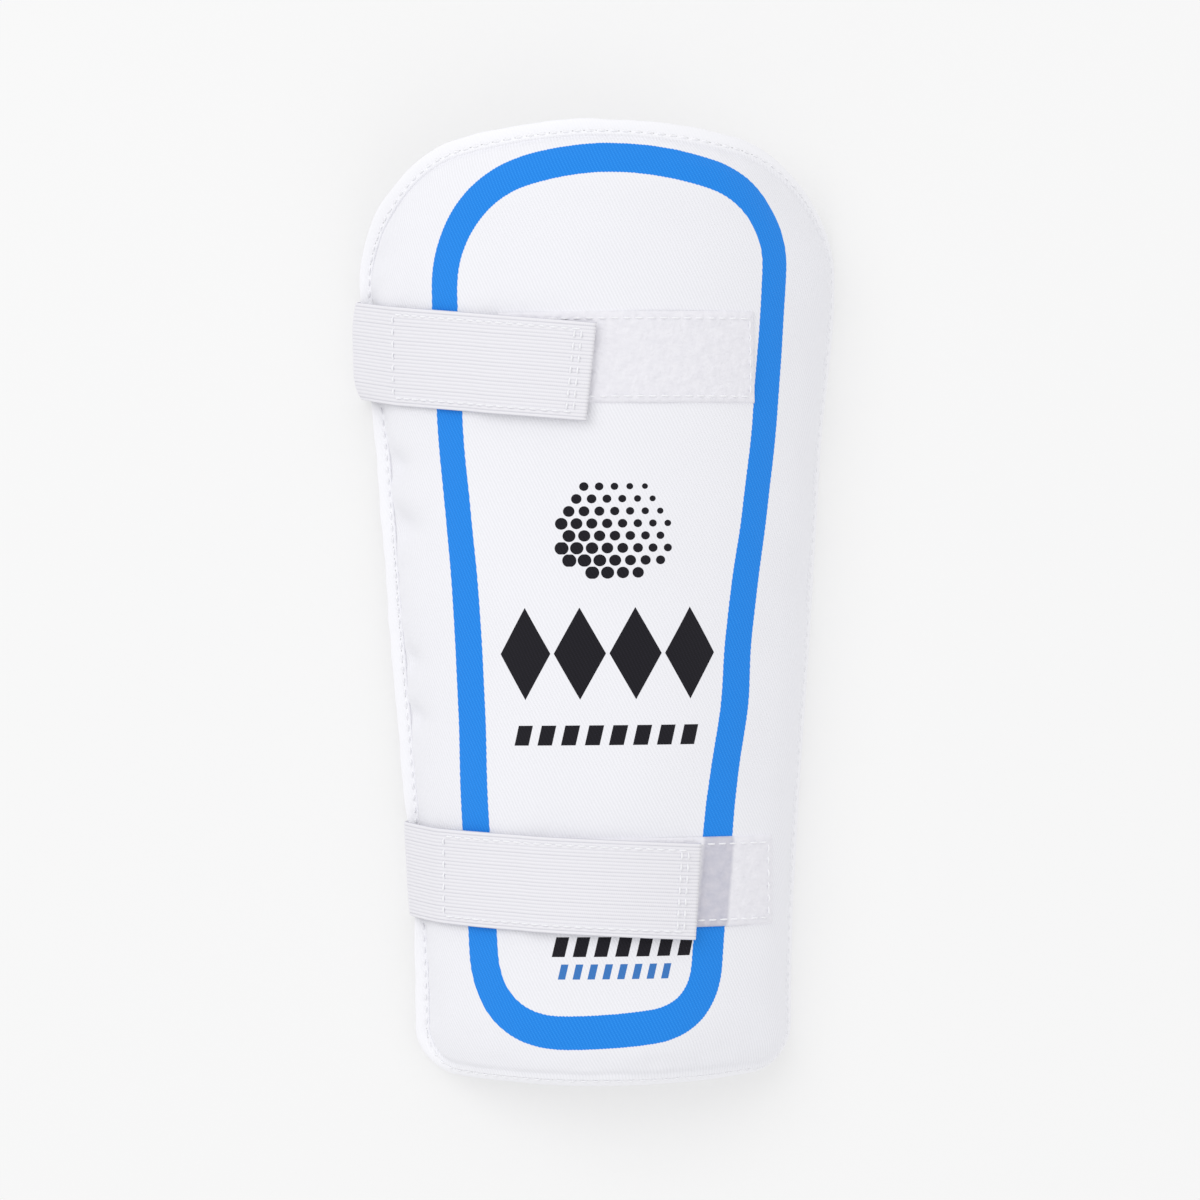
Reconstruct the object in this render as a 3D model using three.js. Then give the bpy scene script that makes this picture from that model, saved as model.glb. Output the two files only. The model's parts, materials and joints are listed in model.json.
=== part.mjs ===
// A padded arm guard for cricket, lying with its hollow side down, in millimetres with Z up.
// X runs across the guard, with the side that the straps wrap round at low X.
// Y runs along it, from the narrow wrist end to the wide elbow end.
// The guard is a curved pad with a sewn rim all round. A cover with its foam lies over a lining.
// Two elastic straps are sewn inside the high X side, cross the hollow, turn round the low X rim
// and close on the front with hook tape on loop patches.
import * as THREE from 'three';
import { mergeVertices } from 'three/addons/utils/BufferGeometryUtils.js';

// Driving dimensions of the pad, along, across and through
const GUARD_LENGTH = 267;
const SHOULDER_WIDTH = 134;
const SHOULDER_RADIUS = 28;
const WRIST_CORNER_RADIUS = 12;
const ELBOW_EDGE_RADIUS = 165;
const WRIST_EDGE_RADIUS = 400;
const FOAM_ABOVE_SEAM = 5.2;
const FOAM_BELOW_SEAM = 6;
const FOAM_EDGE_RUN = 17;
const COVER_HEM = 1.2;
const LINING_THICKNESS = 1.5;

// Rim: the width of the sewn edge, and how far it dips from level on each long side
const RIM_WIDTH = 4.6;
const STRAP_SIDE_DIP = THREE.MathUtils.degToRad(24);
const FREE_SIDE_DIP = THREE.MathUtils.degToRad(72);

// Straps and their tapes
const UPPER_STRAP_WIDTH = 27;
const LOWER_STRAP_WIDTH = 26.5;
const STRAP_THICKNESS = 1.2;
const LOOP_PATCH_WIDTH = 25;
const LOOP_PATCH_THICKNESS = 1;
const HOOK_TAPE_THICKNESS = 1;
const HOOK_TAPE_INSET = 1.8;
const HOOK_END_INSET = 1.2;
const UPPER_STRAP_SLACK = 1.3;
const LOWER_STRAP_SLACK = 0.2;

// Clearance between pieces that lie on each other, and the way a strap climbs onto a patch
const LAYER_GAP = 0.3;
const CLIMB_LENGTH = 7;
const FLAT_RUN = 12;

// Mesh fineness
const RIM_STEPS = 104;
const STRAP_STEP = 5;

// Sections from the wrist end (along 0) to the elbow end (along 1). `half` is the half width as a
// share of half the shoulder width, and `arch` the rise of the curve as a share of that half width.
const SECTIONS = [
  { along: 0.0, half: 0.787, arch: 0.54 },
  { along: 0.15, half: 0.797, arch: 0.545 },
  { along: 0.3, half: 0.833, arch: 0.55 },
  { along: 0.45, half: 0.879, arch: 0.558 },
  { along: 0.6, half: 0.92, arch: 0.567 },
  { along: 0.68, half: 0.943, arch: 0.572 },
  { along: 0.75, half: 0.976, arch: 0.577 },
  { along: 0.82, half: 1.0, arch: 0.58 },
  { along: 0.91, half: 0.998, arch: 0.58 },
  { along: 1.0, half: 1.0, arch: 0.58 },
];

// Puckers that the stitching draws in beside the rim. `along` is a share of the length, `side` is
// -1 on the strap side, `depth` a share of the foam above the seam, `reach` a share of its edge run.
const PUCKERS = [
  { along: 0.655, side: -1, depth: 0.42, reach: 0.42 },
  { along: 0.6, side: -1, depth: 0.34, reach: 0.36 },
  { along: 0.45, side: -1, depth: 0.36, reach: 0.38 },
  { along: 0.395, side: -1, depth: 0.3, reach: 0.4 },
  { along: 0.87, side: -1, depth: 0.26, reach: 0.6 },
  { along: 0.2, side: -1, depth: 0.22, reach: 0.45 },
  { along: 0.52, side: 1, depth: 0.22, reach: 0.45 },
];

// Straps: `along` is where the middle of the strap turns round the rim, as a share of the length.
// `tip` and `patchEnd` are places across, as shares of the half width there, `patchStart` and
// `hookStart` too. `tipWidth` is a share of the strap's own width, and `lean` is in radians.
const STRAPS = [
  {
    name: 'upper', along: 0.7695, width: UPPER_STRAP_WIDTH, slack: UPPER_STRAP_SLACK,
    tipWidth: 0.985, lean: 0.104, tip: -0.04, patchStart: -0.426, patchEnd: 0.629,
    patchAlong: 0.756, hookStart: -0.702,
  },
  {
    name: 'lower', along: 0.2245, width: LOWER_STRAP_WIDTH, slack: LOWER_STRAP_SLACK,
    tipWidth: 1.01, lean: 0.065, tip: 0.44, patchStart: -0.309, patchEnd: 0.835,
    patchAlong: 0.2135, hookStart: -0.722,
  },
];

// Looks
const TWILL_WHITE = 0xf2f2f7;
const LINING_WHITE = 0xe9e9ee;
const ELASTIC_WHITE = 0xe6e5eb;
const LOOP_WHITE = 0xe9e8ee;
const HOOK_WHITE = 0xdedde2;

const HALF_SHOULDER = SHOULDER_WIDTH / 2;
const WRIST_Y = -GUARD_LENGTH / 2;
const ELBOW_Y = GUARD_LENGTH / 2;

const mix = THREE.MathUtils.lerp;
const clamp = THREE.MathUtils.clamp;
const alongToY = (along) => mix(WRIST_Y, ELBOW_Y, along);

// A column of SECTIONS at a share of the length, on smooth cubic pieces.
function sectionValue(column, along) {
  const last = SECTIONS.length - 1;
  const t = clamp(along, 0, 1);
  let i = 0;
  while (i < last - 1 && t > SECTIONS[i + 1].along) i += 1;
  const slopeAt = (k) => {
    const before = SECTIONS[Math.max(k - 1, 0)];
    const after = SECTIONS[Math.min(k + 1, last)];
    return (after[column] - before[column]) / (after.along - before.along);
  };
  const [low, high] = [SECTIONS[i], SECTIONS[i + 1]];
  const span = high.along - low.along;
  const s = (t - low.along) / span;
  const rise = high[column] - low[column];
  const startPull = slopeAt(i) * span;
  const endPull = slopeAt(i + 1) * span;
  return low[column] + s * startPull + s * s * (3 * rise - 2 * startPull - endPull)
    + s * s * s * (startPull + endPull - 2 * rise);
}

const alongOf = (y) => (y - WRIST_Y) / GUARD_LENGTH;
const halfWidth = (y) => sectionValue('half', alongOf(y)) * HALF_SHOULDER;

// How far the seam line lies inside the seen edge, on each long side
const hemOverhang = (dip) => (COVER_HEM + LAYER_GAP / 2) * Math.sin(dip);
const seamInset = (dip) => RIM_WIDTH * Math.cos(dip) + hemOverhang(dip);
const STRAP_SIDE_INSET = seamInset(STRAP_SIDE_DIP);
const FREE_SIDE_INSET = seamInset(FREE_SIDE_DIP);

// Height of the seam line over the floor: the free side's rim stands on it, and the strap side's
// rim lies on the straps that pass below it.
const rimDrop = (dip) => RIM_WIDTH * Math.sin(dip)
  + (LINING_THICKNESS + LAYER_GAP / 2) * Math.cos(dip);
const STRAP_SEAM_HEIGHT = STRAP_THICKNESS + LAYER_GAP + rimDrop(STRAP_SIDE_DIP);
const FREE_SEAM_HEIGHT = rimDrop(FREE_SIDE_DIP);

// The curved middle surface that the seam lies in: an arc across, between the two seam lines.
const seamMiddle = (STRAP_SIDE_INSET - FREE_SIDE_INSET) / 2;
const seamHalf = (y) => halfWidth(y) - (STRAP_SIDE_INSET + FREE_SIDE_INSET) / 2;

function middlePoint(x, y) {
  const half = seamHalf(y);
  const arch = sectionValue('arch', alongOf(y));
  const radius = (1 + arch * arch) / (2 * arch);
  const u = (x - seamMiddle) / half;
  const rise = Math.sqrt(radius * radius - Math.min(u * u, 1.2)) - (radius - arch);
  const z = mix(STRAP_SEAM_HEIGHT, FREE_SEAM_HEIGHT, (u + 1) / 2) + rise * half;
  return new THREE.Vector3(x, y, z);
}

// Distance along the arc from the strap side's seam to a place across.
function arcLength(x, y) {
  const half = seamHalf(y);
  const arch = sectionValue('arch', alongOf(y));
  const radius = (1 + arch * arch) / (2 * arch);
  const u = clamp((x - seamMiddle) / half, -1, 1);
  return half * radius * (Math.asin(u / radius) + Math.asin(1 / radius));
}

function middleNormal(x, y) {
  const step = 0.5;
  const across = middlePoint(x + step, y).sub(middlePoint(x - step, y));
  const lengthwise = middlePoint(x, y + step).sub(middlePoint(x, y - step));
  return across.cross(lengthwise).normalize();
}

// How deep a place lies inside the seen edge: the nearer of the side and the end, with the corner
// between them rounded to its radius. It is 0 on the edge.
function depthInside(x, y) {
  const side = halfWidth(y) - Math.abs(x);
  const corner = (end, radius) => {
    const a = Math.max(radius - side, 0);
    const b = Math.max(radius - end, 0);
    return radius - Math.hypot(a, b);
  };
  const elbow = ELBOW_Y - (x * x) / (2 * ELBOW_EDGE_RADIUS) - y;
  const wrist = y - (WRIST_Y + (x * x) / (2 * WRIST_EDGE_RADIUS));
  return Math.min(corner(elbow, SHOULDER_RADIUS), corner(wrist, WRIST_CORNER_RADIUS));
}

// The seen edge on the high X side, from the elbow end's middle to the wrist end's middle.
function halfEdge() {
  const rays = 720;
  const dense = [];
  for (let k = 0; k <= rays; k += 1) {
    const angle = Math.PI / 2 - (Math.PI * k) / rays;
    let inside = 0;
    let outside = GUARD_LENGTH;
    for (let step = 0; step < 40; step += 1) {
      const middle = (inside + outside) / 2;
      const deep = depthInside(middle * Math.cos(angle), middle * Math.sin(angle));
      if (deep > 0) inside = middle;
      else outside = middle;
    }
    dense.push(new THREE.Vector2(inside * Math.cos(angle), inside * Math.sin(angle)));
  }
  dense[0].x = 0;
  dense[rays].x = 0;
  return dense;
}

// Points at equal steps along a line of plan points.
function equalSteps(line, count) {
  const lengths = [0];
  for (let k = 1; k < line.length; k += 1) {
    lengths.push(lengths[k - 1] + line[k].distanceTo(line[k - 1]));
  }
  const total = lengths[lengths.length - 1];
  const points = [];
  let k = 1;
  for (let i = 0; i <= count; i += 1) {
    const want = (total * i) / count;
    while (k < line.length - 1 && lengths[k] < want) k += 1;
    const share = (want - lengths[k - 1]) / (lengths[k] - lengths[k - 1]);
    points.push(line[k - 1].clone().lerp(line[k], share));
  }
  return points;
}

// The whole rim: for each step its seen edge point, the outward direction in plan, the seam point,
// the drop of the rim and the spine point that the surface closes on.
function rimStations() {
  const half = RIM_STEPS / 2;
  const right = equalSteps(halfEdge(), half);
  const left = right.slice(1, half).reverse().map((p) => new THREE.Vector2(-p.x, p.y));
  const edge = [...right, ...left];
  const spineReach = GUARD_LENGTH / 2 - (2 / 3) * HALF_SHOULDER;
  return edge.map((point, i) => {
    const before = edge[(i + RIM_STEPS - 1) % RIM_STEPS];
    const after = edge[(i + 1) % RIM_STEPS];
    const tangent = after.clone().sub(before).normalize();
    const out = new THREE.Vector2(-tangent.y, tangent.x);
    const dip = Math.abs(out.x) * (out.x < 0 ? STRAP_SIDE_DIP : FREE_SIDE_DIP);
    const seam = point.clone().addScaledVector(out, -seamInset(dip));
    const turn = i <= half ? i / half : (RIM_STEPS - i) / half;
    const spine = new THREE.Vector2(seamMiddle, mix(spineReach, -spineReach, turn));
    return { out, dip, seam, spine };
  });
}

const RIM = rimStations();
const SEAM_LINE = RIM.map(({ seam }) => middlePoint(seam.x, seam.y));

// Distance over the surface from a place to the seam line.
function seamDistance(x, y) {
  const here = middlePoint(x, y);
  const nearest = new THREE.Vector3();
  const piece = new THREE.Line3();
  let least = Infinity;
  SEAM_LINE.forEach((start, i) => {
    piece.set(start, SEAM_LINE[(i + 1) % RIM_STEPS]);
    piece.closestPointToPoint(here, true, nearest);
    least = Math.min(least, nearest.distanceTo(here));
  });
  return least;
}

const roundedRise = (distance) => 1 - (1 - Math.min(distance / FOAM_EDGE_RUN, 1)) ** 2;

// How much the puckers lower the cover at a place.
function puckerDepth(x, y, distance) {
  return PUCKERS.reduce((sum, { along, side, depth, reach }) => {
    const spread = reach * FOAM_EDGE_RUN;
    const sameSide = Math.sign(x) === side ? 1 : 0;
    const lengthwise = ((y - alongToY(along)) / spread) ** 2;
    const inward = ((distance - spread / 2) / spread) ** 2;
    return sum + sameSide * depth * FOAM_ABOVE_SEAM * Math.exp(-lengthwise - inward);
  }, 0);
}

// A point of the cover's outside, raised by `lift`.
function coverPoint(x, y, lift = 0, smooth = true) {
  const distance = seamDistance(x, y);
  const hem = COVER_HEM + LAYER_GAP / 2;
  const swell = (FOAM_ABOVE_SEAM - COVER_HEM) * roundedRise(distance);
  const dent = smooth ? 0 : Math.min(puckerDepth(x, y, distance), swell * 0.8);
  return middlePoint(x, y).addScaledVector(middleNormal(x, y), hem + swell - dent + lift);
}

// A point of the foam's underside, lowered by `drop`.
function undersidePoint(x, y, drop = 0) {
  const swell = FOAM_BELOW_SEAM * roundedRise(seamDistance(x, y));
  return middlePoint(x, y).addScaledVector(middleNormal(x, y), -LAYER_GAP / 2 - swell - drop);
}

// A point on the rim, `share` of the way from the seam to the edge, `height` above its middle.
function rimPoint(station, share, height) {
  const { out, dip, seam } = station;
  const start = middlePoint(seam.x, seam.y);
  const reach = RIM_WIDTH * share;
  const flat = Math.cos(dip) * reach + Math.sin(dip) * height;
  const fall = Math.sin(dip) * reach - Math.cos(dip) * height;
  return new THREE.Vector3(start.x + out.x * flat, start.y + out.y * flat, start.z - fall);
}

// A ring of points, `share` of the way from the seam line to the spine, placed by a surface.
const surfaceRing = (share, place) => RIM.map(({ seam, spine }) => {
  const flat = seam.clone().lerp(spine, share);
  return place(flat.x, flat.y);
});
const rimRing = (share, height) => RIM.map((station) => rimPoint(station, share, height));

function closedMesh(points, triangles) {
  const geometry = new THREE.BufferGeometry().setFromPoints(points);
  geometry.setIndex(triangles);
  const merged = mergeVertices(geometry, 1e-3);
  merged.computeVertexNormals();
  return merged;
}

// A closed body through rings of equal count. The first and last rings fold onto the spine, and
// each four-sided cell is split along its shorter diagonal.
function ringBody(rings) {
  const count = rings[0].length;
  const points = rings.flat();
  const triangles = [];
  for (let r = 0; r + 1 < rings.length; r += 1) {
    for (let i = 0; i < count; i += 1) {
      const next = (i + 1) % count;
      const [a, b] = [r * count + i, r * count + next];
      const [c, d] = [a + count, b + count];
      const crossing = points[a].distanceTo(points[d]) - points[b].distanceTo(points[c]);
      if (crossing < 0) triangles.push(a, b, d, a, d, c);
      else triangles.push(a, b, c, b, d, c);
    }
  }
  return closedMesh(points, triangles);
}

// A closed body between an underside and an upper side, each a grid of rows and columns.
function layerBody(rows, columns, place) {
  const points = [];
  for (let r = 0; r < rows; r += 1) {
    for (let c = 0; c < columns; c += 1) points.push(place(r, c, 0), place(r, c, 1));
  }
  const at = (r, c, side) => (r * columns + c) * 2 + side;
  const triangles = [];
  const quad = (a, b, c, d) => triangles.push(a, c, b, a, d, c);
  for (let r = 0; r + 1 < rows; r += 1) {
    for (let c = 0; c + 1 < columns; c += 1) {
      quad(at(r, c, 1), at(r + 1, c, 1), at(r + 1, c + 1, 1), at(r, c + 1, 1));
      quad(at(r, c, 0), at(r, c + 1, 0), at(r + 1, c + 1, 0), at(r + 1, c, 0));
    }
    quad(at(r, 0, 0), at(r + 1, 0, 0), at(r + 1, 0, 1), at(r, 0, 1));
    const end = columns - 1;
    quad(at(r, end, 1), at(r + 1, end, 1), at(r + 1, end, 0), at(r, end, 0));
  }
  const tail = rows - 1;
  for (let c = 0; c + 1 < columns; c += 1) {
    quad(at(0, c, 1), at(0, c + 1, 1), at(0, c + 1, 0), at(0, c, 0));
    quad(at(tail, c, 0), at(tail, c + 1, 0), at(tail, c + 1, 1), at(tail, c, 1));
  }
  return closedMesh(points, triangles);
}

function piece(name, geometry, color, roughness) {
  const material = new THREE.MeshStandardMaterial({ color, roughness, metalness: 0 });
  const mesh = new THREE.Mesh(geometry, material);
  mesh.name = name;
  return mesh;
}

// The cover and its foam: a swelling outside, the hem and a swelling underside.
function frontPad() {
  const outsideShares = [1, 0.8, 0.62, 0.46, 0.34, 0.24, 0.16, 0.1, 0.055, 0.022, 0];
  const undersideShares = [0, 0.035, 0.09, 0.17, 0.28, 0.45, 0.7, 1];
  const hemTop = COVER_HEM + LAYER_GAP / 2;
  const outside = (x, y) => coverPoint(x, y, 0, false);
  return ringBody([
    ...outsideShares.map((share) => surfaceRing(share, outside)),
    rimRing(1, hemTop),
    rimRing(1, LAYER_GAP / 2),
    ...undersideShares.map((share) => surfaceRing(share, undersidePoint)),
  ]);
}

// The lining under the foam, with a hem of its own below the cover's.
function backLining() {
  const shares = [1, 0.7, 0.45, 0.28, 0.17, 0.09, 0.035, 0];
  const upper = (x, y) => undersidePoint(x, y, LAYER_GAP);
  const lower = (x, y) => undersidePoint(x, y, LAYER_GAP + LINING_THICKNESS);
  return ringBody([
    ...shares.map((share) => surfaceRing(share, upper)),
    rimRing(1, -LAYER_GAP / 2),
    rimRing(1, -LAYER_GAP / 2 - LINING_THICKNESS),
    ...shares.toReversed().map((share) => surfaceRing(share, lower)),
  ]);
}

const smoothShare = (value, low, high) => THREE.MathUtils.smoothstep(value, low, high);
const acrossToX = (share, y) => seamMiddle + share * seamHalf(y);

// Height of the hook tape's underside over the cover: it climbs onto the patch before its edge.
function hookLift(strap, x) {
  const start = acrossToX(strap.patchStart, alongToY(strap.along));
  const climb = smoothShare(x, start - CLIMB_LENGTH, start - LAYER_GAP);
  return LAYER_GAP + climb * (LOOP_PATCH_THICKNESS + LAYER_GAP);
}

const strapLift = (strap, x) => hookLift(strap, x) + HOOK_TAPE_THICKNESS + LAYER_GAP;

// Y of a strap's line at `side` (-1 to 1 over its width) and a run past the rim, low when behind.
function strapY(strap, run, side, inset = 0) {
  const tipX = acrossToX(strap.tip, alongToY(strap.along));
  const tipRun = arcLength(tipX, alongToY(strap.along));
  const narrowing = mix(1, strap.tipWidth, clamp(run / tipRun, 0, 1));
  const half = (strap.width * narrowing) / 2 - inset;
  return alongToY(strap.along) - Math.sin(strap.lean) * run + side * half;
}

// Places across from one share to another at steps of about STRAP_STEP over the surface.
function acrossSteps(strap, from, to) {
  const y = alongToY(strap.along);
  const [start, end] = [acrossToX(from, y), acrossToX(to, y)];
  const count = Math.ceil(Math.abs(arcLength(end, y) - arcLength(start, y)) / STRAP_STEP);
  return Array.from({ length: count + 1 }, (_, k) => mix(start, end, k / count));
}

// The strap's guard side along one line of its width: over the front, round the rim, flat on the
// floor below it, straight across the hollow and along the lining on the far side.
function strapLine(strap, side) {
  const yMiddle = alongToY(strap.along);
  const frontEnd = -0.84;
  const front = acrossSteps(strap, strap.tip, frontEnd).map((x) => {
    const y = strapY(strap, arcLength(x, yMiddle), side);
    return coverPoint(x, y, strapLift(strap, x));
  });
  const turnY = (run) => strapY(strap, run, side);
  const edge = -halfWidth(turnY(0));
  const tuck = (COVER_HEM + LINING_THICKNESS + LAYER_GAP) * Math.sin(STRAP_SIDE_DIP);
  const hemTop = STRAP_THICKNESS + LAYER_GAP
    + (COVER_HEM + LINING_THICKNESS + LAYER_GAP) * Math.cos(STRAP_SIDE_DIP);
  const floor = STRAP_THICKNESS;
  const out = LAYER_GAP + strap.slack;
  const turn = [
    [edge - out, hemTop + 1.5, 0],
    [edge - out, hemTop - 0.8, -2],
    [edge + tuck / 2 - out, floor + 0.45 * (hemTop - floor), -3.5],
    [edge + tuck - LAYER_GAP - 0.3 * strap.slack, floor + 0.12 * (hemTop - floor), -5],
    [edge + tuck + 1.4, floor, -6.5],
  ].map(([x, z, run]) => new THREE.Vector3(x, turnY(run), z));
  const rounded = new THREE.CatmullRomCurve3([...front.slice(-3), ...turn], false, 'centripetal');
  const turnSteps = 14;
  const startShare = 2 / (turn.length + 2);
  const bend = Array.from({ length: turnSteps }, (_, k) => (
    rounded.getPoint(mix(startShare, 1, (k + 1) / turnSteps))
  ));
  const flatStart = edge + tuck + 1.4;
  const flat = [2, FLAT_RUN].map((run) => (
    new THREE.Vector3(flatStart + run, turnY(-6.5 - run), floor)
  ));
  const sewn = [0.86, 0.9, 0.94, 0.98].map((share) => {
    const x = acrossToX(share, yMiddle);
    const y = turnY(-(x - edge));
    return undersidePoint(x, y, LINING_THICKNESS + 3 * LAYER_GAP);
  });
  const lift = new THREE.Vector3(flatStart + FLAT_RUN + 2, turnY(-8.5 - FLAT_RUN), floor);
  const spanStart = lift.clone();
  const span = [0.25, 0.5, 0.75].map((share) => {
    const point = spanStart.clone().lerp(sewn[0], share);
    point.z = mix(spanStart.z, sewn[0].z, share ** 1.6);
    return point;
  });
  return [...front, ...bend, ...flat, lift, ...span, ...sewn];
}

// A strap: its guard side on four lines over the width, and its other side one thickness away.
function strapBody(strap) {
  const sides = [-1, -1 / 3, 1 / 3, 1];
  const lines = sides.map((side) => strapLine(strap, side));
  const rows = lines[0].length;
  const away = (r, c) => {
    const line = lines[c];
    const run = line[Math.min(r + 1, rows - 1)].clone().sub(line[Math.max(r - 1, 0)]);
    return new THREE.Vector3(0, 1, 0).cross(run).normalize();
  };
  return layerBody(rows, sides.length, (r, c, side) => (
    lines[c][r].clone().addScaledVector(away(r, c), side * STRAP_THICKNESS)
  ));
}

// The hook tape sewn under a strap's front stretch.
function hookTapeBody(strap) {
  const yMiddle = alongToY(strap.along);
  const tipShare = strap.tip - HOOK_END_INSET / seamHalf(yMiddle);
  const places = acrossSteps(strap, tipShare, strap.hookStart);
  const sides = [-1, 0, 1];
  return layerBody(places.length, sides.length, (r, c, side) => {
    const x = places[r];
    const y = strapY(strap, arcLength(x, yMiddle), sides[c], HOOK_TAPE_INSET);
    return coverPoint(x, y, hookLift(strap, x) + side * HOOK_TAPE_THICKNESS);
  });
}

// The loop patch sewn flat on the cover.
function loopPatchBody(strap) {
  const places = acrossSteps(strap, strap.patchEnd, strap.patchStart);
  const sides = [-0.5, 0, 0.5];
  return layerBody(places.length, sides.length, (r, c, side) => (
    coverPoint(
      places[r],
      alongToY(strap.patchAlong) + sides[c] * LOOP_PATCH_WIDTH,
      LAYER_GAP + side * LOOP_PATCH_THICKNESS,
    )
  ));
}

const guard = new THREE.Group();
guard.add(
  piece('front_pad', frontPad(), TWILL_WHITE, 0.85),
  piece('back_lining', backLining(), LINING_WHITE, 0.9),
);
STRAPS.forEach((strap) => {
  guard.add(
    piece(`${strap.name}_strap`, strapBody(strap), ELASTIC_WHITE, 0.8),
    piece(`${strap.name}_hook_tape`, hookTapeBody(strap), HOOK_WHITE, 0.7),
    piece(`${strap.name}_loop_patch`, loopPatchBody(strap), LOOP_WHITE, 0.95),
  );
});

// The origin is the middle of the underside of the guard's own box.
const box = new THREE.Box3().setFromObject(guard, true);
const middle = box.getCenter(new THREE.Vector3());
guard.children.forEach((mesh) => mesh.geometry.translate(-middle.x, -middle.y, -box.min.z));

export default guard;
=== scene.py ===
# %% [markdown]
# A cricket arm guard, lying on a pale table with its hollow side down and seen from above.
# The real thing is a foam sheet sewn between a twill cover and a lining, bent to a gutter that
# fits the forearm. A blue frame is printed on the cover, and two elastic straps close on the
# front. The solid model gives each piece its place, and the cells below dress each one in cloth.

# %% The frame
import json
import math
from functools import partialmethod

import bpy
import numpy as np
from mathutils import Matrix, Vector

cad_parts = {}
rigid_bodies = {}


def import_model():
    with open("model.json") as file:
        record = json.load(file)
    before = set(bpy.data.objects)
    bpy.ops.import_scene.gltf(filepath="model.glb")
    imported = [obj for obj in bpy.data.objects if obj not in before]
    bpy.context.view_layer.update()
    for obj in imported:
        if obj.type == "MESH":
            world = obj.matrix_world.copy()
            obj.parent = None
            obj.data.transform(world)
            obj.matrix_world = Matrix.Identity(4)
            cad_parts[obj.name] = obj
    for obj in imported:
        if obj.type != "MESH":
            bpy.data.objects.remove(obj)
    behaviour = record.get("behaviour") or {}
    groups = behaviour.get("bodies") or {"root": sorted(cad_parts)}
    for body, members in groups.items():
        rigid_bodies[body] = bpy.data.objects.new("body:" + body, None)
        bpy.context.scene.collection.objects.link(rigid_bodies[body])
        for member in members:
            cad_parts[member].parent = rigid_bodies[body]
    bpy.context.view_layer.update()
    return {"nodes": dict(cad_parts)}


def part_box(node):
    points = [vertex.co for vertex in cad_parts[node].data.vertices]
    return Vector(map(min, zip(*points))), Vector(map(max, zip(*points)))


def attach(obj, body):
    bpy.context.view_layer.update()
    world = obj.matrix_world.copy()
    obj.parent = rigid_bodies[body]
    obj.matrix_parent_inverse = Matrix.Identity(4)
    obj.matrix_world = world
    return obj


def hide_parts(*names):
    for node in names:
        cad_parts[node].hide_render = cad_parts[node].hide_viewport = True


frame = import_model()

MM = 0.001
print("nodes:", sorted(frame["nodes"]))

# %% [markdown]
# First come the sizes. The pad's box gives the length and where its middle lies across. The
# outline is two long sides that taper towards the wrist, closed by two gently bowed ends, with
# a large round shoulder at the elbow end and a tight corner at the wrist end.

# %% Sizes of the pad
pad_low, pad_high = (np.array(corner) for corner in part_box("front_pad"))
CENTRE_X = (pad_low[0] + pad_high[0]) / 2
LENGTH = pad_high[1] - pad_low[1]
WRIST_Y = pad_low[1]
ELBOW_Y = pad_high[1]
HALF_SHOULDER = 67 * MM
SHOULDER_RADIUS = 28 * MM
WRIST_CORNER_RADIUS = 12 * MM
ELBOW_EDGE_RADIUS = 165 * MM
WRIST_EDGE_RADIUS = 400 * MM
FOAM_ABOVE_SEAM = 5.2 * MM
FOAM_BELOW_SEAM = 6 * MM
FOAM_EDGE_RUN = 17 * MM
HEM = 1.2 * MM
LINING = 1.5 * MM
RIM_WIDTH = 4.6 * MM
STRAP_SIDE_DIP = math.radians(24)
FREE_SIDE_DIP = math.radians(72)
WRIST_END_DIP = math.radians(58)
STRAP_THICKNESS = 1.2 * MM
LAYER_GAP = 0.3 * MM

# Shares along the length: half width over the shoulder's, and arch height over the half width.
SECTIONS = {
    "along": [0.0, 0.15, 0.3, 0.45, 0.6, 0.68, 0.75, 0.82, 0.91, 1.0],
    "half": [0.787, 0.797, 0.833, 0.879, 0.92, 0.943, 0.976, 1.0, 0.998, 1.0],
    "arch": [0.54, 0.545, 0.55, 0.558, 0.567, 0.572, 0.577, 0.58, 0.58, 0.58],
}
print(f"pad {LENGTH / MM:.1f} mm long, middle at x = {CENTRE_X / MM:.2f} mm")

# %% Smooth curves through a table


def through(knots, values, at):
    """Cubic pieces through values at knots. Each leaves a knot with the slope of the chord
    between the knot's two neighbours, so that neighbouring pieces join smoothly."""
    knots = np.asarray(knots, float)
    values = np.asarray(values, float)
    at = np.asarray(at, float)
    last = len(knots) - 1
    before = np.maximum(np.arange(last + 1) - 1, 0)
    after = np.minimum(np.arange(last + 1) + 1, last)
    tail = (1,) * (values.ndim - 1)
    slope = (values[after] - values[before]) / (knots[after] - knots[before]).reshape(-1, *tail)
    i = np.clip(np.searchsorted(knots, at, side="right") - 1, 0, last - 1)
    shape = (*at.shape, *tail)
    span = (knots[i + 1] - knots[i]).reshape(shape)
    s = (at - knots[i]).reshape(shape) / span
    rise = values[i + 1] - values[i]
    start = slope[i] * span
    end = slope[i + 1] * span
    line = values[i] + s * start
    return line + s**2 * (3 * rise - 2 * start - end) + s**3 * (start + end - 2 * rise)


def section(name, y):
    along = np.clip((y - WRIST_Y) / LENGTH, 0, 1)
    return through(SECTIONS["along"], SECTIONS[name], along)


def half_width(y):
    return section("half", y) * HALF_SHOULDER


def along_y(share):
    return WRIST_Y + share * LENGTH


print("half widths:", [round(float(half_width(along_y(t))) / MM, 1) for t in (0, 0.5, 1)])

# %% [markdown]
# The seam lies on one curved sheet, which bends across the guard as an arc of a circle. Every
# layer is this middle sheet moved along its own normal, so cover, foam, lining, patches and
# straps all follow the same curve and keep their places on each other.

# %% The middle sheet
HEM_TOP = HEM + LAYER_GAP / 2
# The square of the share across is held to this, just past the seam, so that its root exists
FARTHEST_SHARE = 1.2


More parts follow.
